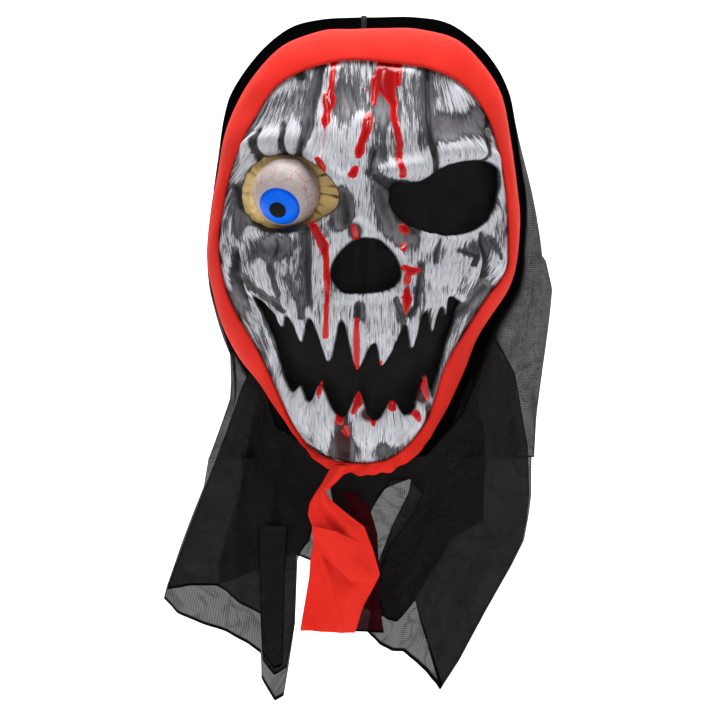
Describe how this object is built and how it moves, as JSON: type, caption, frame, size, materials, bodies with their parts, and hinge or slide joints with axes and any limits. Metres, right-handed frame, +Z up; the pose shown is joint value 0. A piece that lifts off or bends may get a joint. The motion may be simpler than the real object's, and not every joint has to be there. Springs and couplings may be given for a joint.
{
  "type": "skull face mask with hood",
  "caption": "Moulded skull face mask with a bulging eye, jagged open mouth, red fabric edging and a sheer black hood with loose hanging cloth.",
  "frame": {"origin": "the middle of the wearer's head at eye height, which is the head mount", "axes": "+Z up as worn, the face looks along -Y, +X is on the right of someone who looks at the face"},
  "size_m": [0.2277, 0.2206, 0.4217],
  "materials": {
    "latex": "moulded latex, dark grey with white dry-brushed paint and glossy red drips",
    "sclera": "glossy white with thin red veins",
    "iris": "glossy blue",
    "flesh": "ochre painted latex",
    "red_cotton": "plain weave, matt",
    "voile": "sheer black voile, matt",
    "elastic": "woven elastic",
    "steel": "nickel plated"
  },
  "bodies": {
    "mask": {"face_shell": "latex", "eyeball": "sclera", "iris_disc": "iris", "eye_collar": "flesh", "eye_screen": "voile", "nose_screen": "voile", "mouth_screen": "voile", "red_band": "red_cotton", "chin_gather": "red_cotton", "hood_panel_left": "voile", "hood_panel_right": "voile", "hood_seam": "voile", "elastic_strap": "elastic", "strap_rivet_left": "steel", "strap_rivet_right": "steel"},
    "left_fall": {"fall_left": "voile"},
    "right_fall": {"fall_right": "voile"},
    "back_flap": {"back_panel": "voile"},
    "tail": {"tail_strip": "red_cotton", "tail_fold": "red_cotton", "tail_overlay": "voile"}
  },
  "joints": [
    {"name": "left_fall_swing", "type": "hinge", "parent": "mask", "child": "left_fall", "pos_m": [-0.081, -0.062, -0.1637], "axis": [-1, 0, 0], "range_deg": [-25, 60]},
    {"name": "right_fall_swing", "type": "hinge", "parent": "mask", "child": "right_fall", "pos_m": [0.058, -0.062, -0.1637], "axis": [-1, 0, 0], "range_deg": [-25, 60]},
    {"name": "back_flap_swing", "type": "hinge", "parent": "mask", "child": "back_flap", "pos_m": [0, 0.093, -0.1637], "axis": [1, 0, 0], "range_deg": [-25, 60]},
    {"name": "tail_swing", "type": "hinge", "parent": "mask", "child": "tail", "pos_m": [-0.012, -0.086, -0.1747], "axis": [-1, 0, 0], "range_deg": [-10, 70]}
  ]
}
